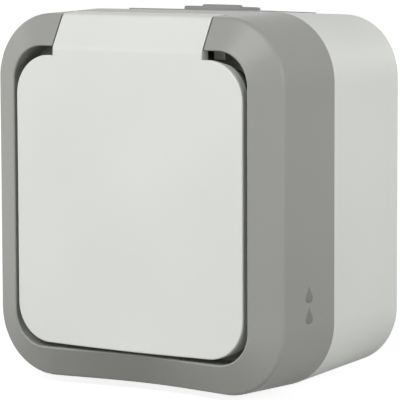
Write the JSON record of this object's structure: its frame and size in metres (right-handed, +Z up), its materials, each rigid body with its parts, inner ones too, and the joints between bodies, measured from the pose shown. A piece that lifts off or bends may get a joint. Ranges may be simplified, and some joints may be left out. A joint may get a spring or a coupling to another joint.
{
  "type": "outdoor weatherproof socket",
  "caption": "Surface-mounted outdoor power socket: drafted wall box, chamfered front frame and a sprung, top-hinged lid that closes over a round earthed plug well.",
  "frame": {"origin": "centre of the back face, where it meets the wall", "axes": "+Y into the wall, +Z up, +X to the right seen from the front; the front faces -Y"},
  "size_m": [0.0762, 0.0522, 0.083],
  "materials": {
    "pale_housing": "satin moulded",
    "grey_frame": "satin moulded",
    "grey_soft": "soft matte",
    "black_rubber": "matte",
    "well_plastic": "satin moulded",
    "base_plastic": "matte moulded",
    "contact_brass": "stamped",
    "screw_steel": "plated"
  },
  "bodies": {
    "housing": {"back_box": "pale_housing", "top_entry_seal": "grey_soft", "bottom_entry_seal": "grey_soft", "wall_screw_seals": "black_rubber", "box_gasket": "black_rubber", "front_frame": "grey_frame", "frame_screw_seals": "black_rubber", "frame_screws": "screw_steel", "hinge_pin": "screw_steel", "lid_spring": "screw_steel", "socket_face": "well_plastic", "face_seal": "black_rubber", "face_screw": "screw_steel", "insert_base": "base_plastic", "line_contact": "contact_brass", "neutral_contact": "contact_brass", "earth_bracket": "contact_brass", "terminal_screws": "screw_steel", "terminal_clamps": "contact_brass", "insert_screws": "screw_steel"},
    "lid": {"lid": "pale_housing", "lid_seal": "black_rubber"}
  },
  "joints": [
    {"name": "lid_hinge", "type": "hinge", "parent": "housing", "child": "lid", "pos_m": [0, -0.0475, 0.0355], "axis": [-1, 0, 0], "range_deg": [0, 102], "stiffness_Nm_per_rad": 0.004, "springref_deg": -57.3, "deforming": ["lid_spring"]}
  ]
}
